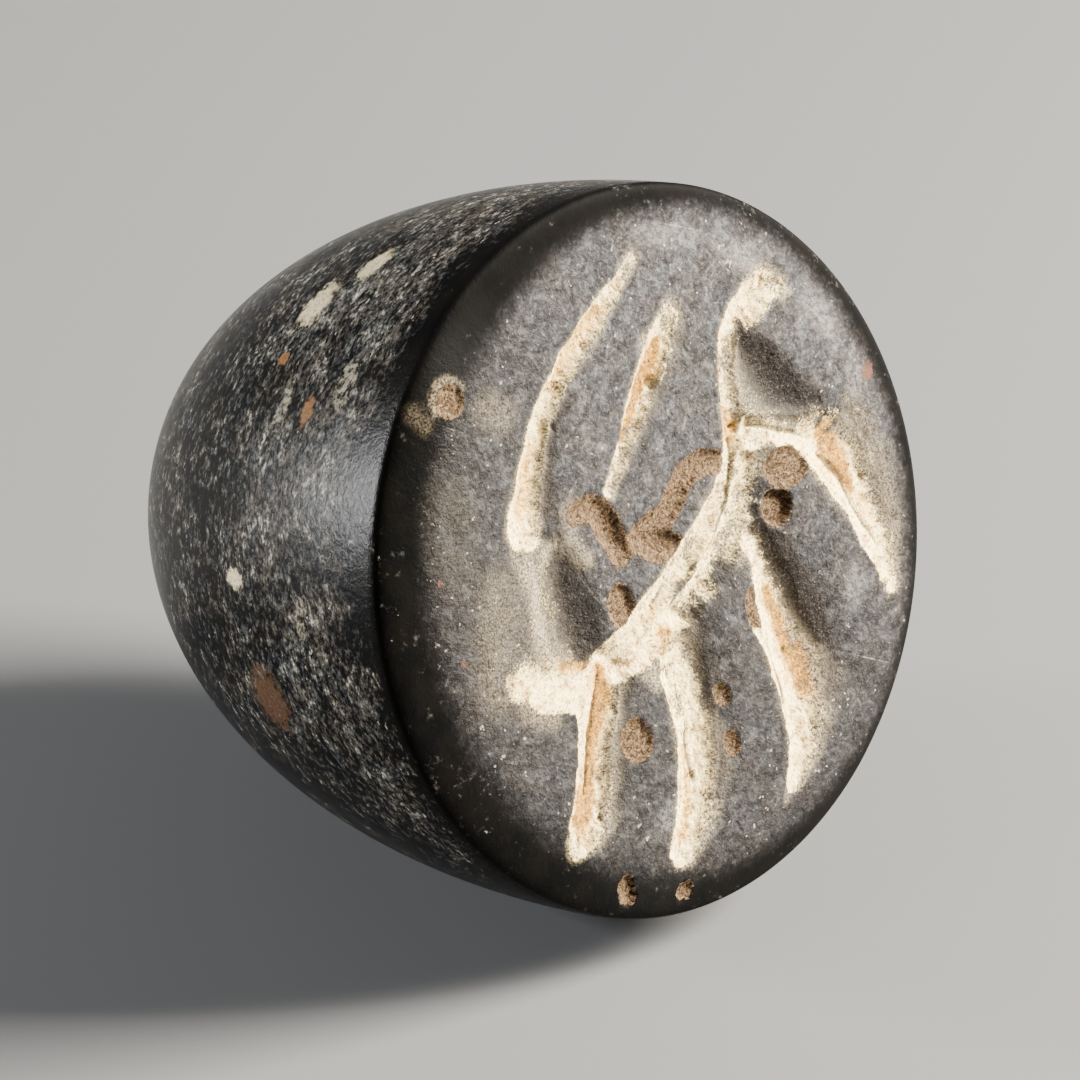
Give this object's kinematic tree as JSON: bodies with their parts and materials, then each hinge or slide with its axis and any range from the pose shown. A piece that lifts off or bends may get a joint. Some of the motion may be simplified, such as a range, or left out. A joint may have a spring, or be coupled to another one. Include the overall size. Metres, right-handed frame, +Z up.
{
  "type": "stamp seal",
  "caption": "Small domed stone stamp seal lying on its side, its flat oval face cut with a horned animal.",
  "frame": {"origin": "on the surface that the seal lies on, under the centre of its box", "axes": "+Z up; the carved face looks along -Y and leans back 17.2 degrees; +X is to the right of someone who looks at the face"},
  "size_m": [0.021, 0.0226, 0.0224],
  "materials": {
    "dark_stone": "worn dark grey stone with pale flecks, grey matt face, cream and brown dirt in the cuts"
  },
  "bodies": {
    "root": {"seal": "dark_stone"}
  },
  "joints": []
}
